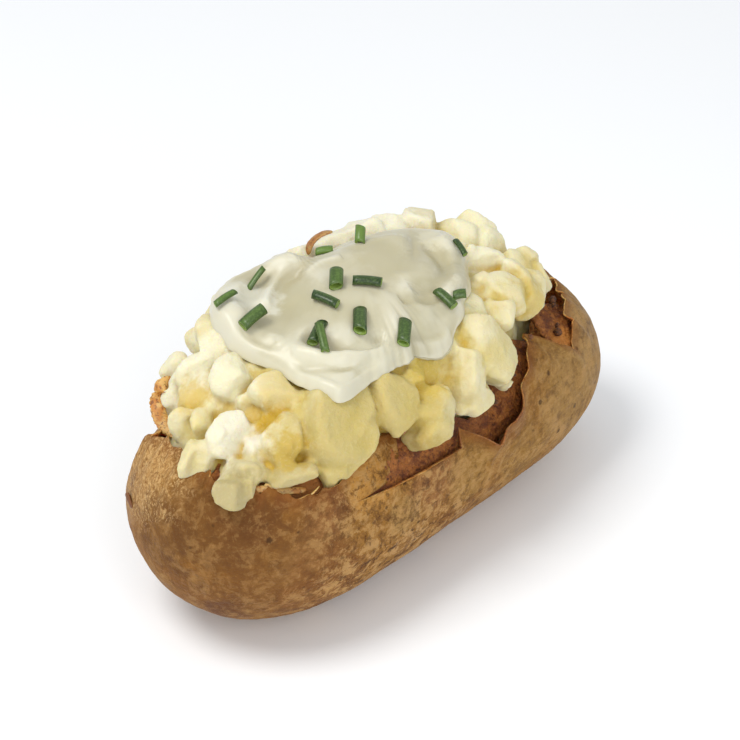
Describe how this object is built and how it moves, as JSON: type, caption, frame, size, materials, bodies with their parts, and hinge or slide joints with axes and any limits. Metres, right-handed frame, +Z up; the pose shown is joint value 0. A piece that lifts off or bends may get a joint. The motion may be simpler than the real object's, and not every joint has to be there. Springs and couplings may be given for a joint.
{
  "type": "baked potato",
  "caption": "Long russet baked potato, split open along the top, its fluffed yellow flesh heaped over the torn skin under a dollop of sour cream.",
  "frame": {"origin": "middle of the small flat spot under the potato, on the surface it rests on", "axes": "+X along the potato's length towards its narrower end, +Z up; the cleft in the skin with the folded tongue above it is on the -Y side"},
  "size_m": [0.1496, 0.067, 0.0792],
  "materials": {
    "skin": "dry brown russet skin with fine netting, satin",
    "flesh": "soft fluffy pale yellow, matt and slightly translucent",
    "sour_cream": "thick smooth warm white cream, soft gloss"
  },
  "bodies": {
    "root": {"skin": "skin", "flesh": "flesh", "sour_cream": "sour_cream"}
  },
  "joints": []
}
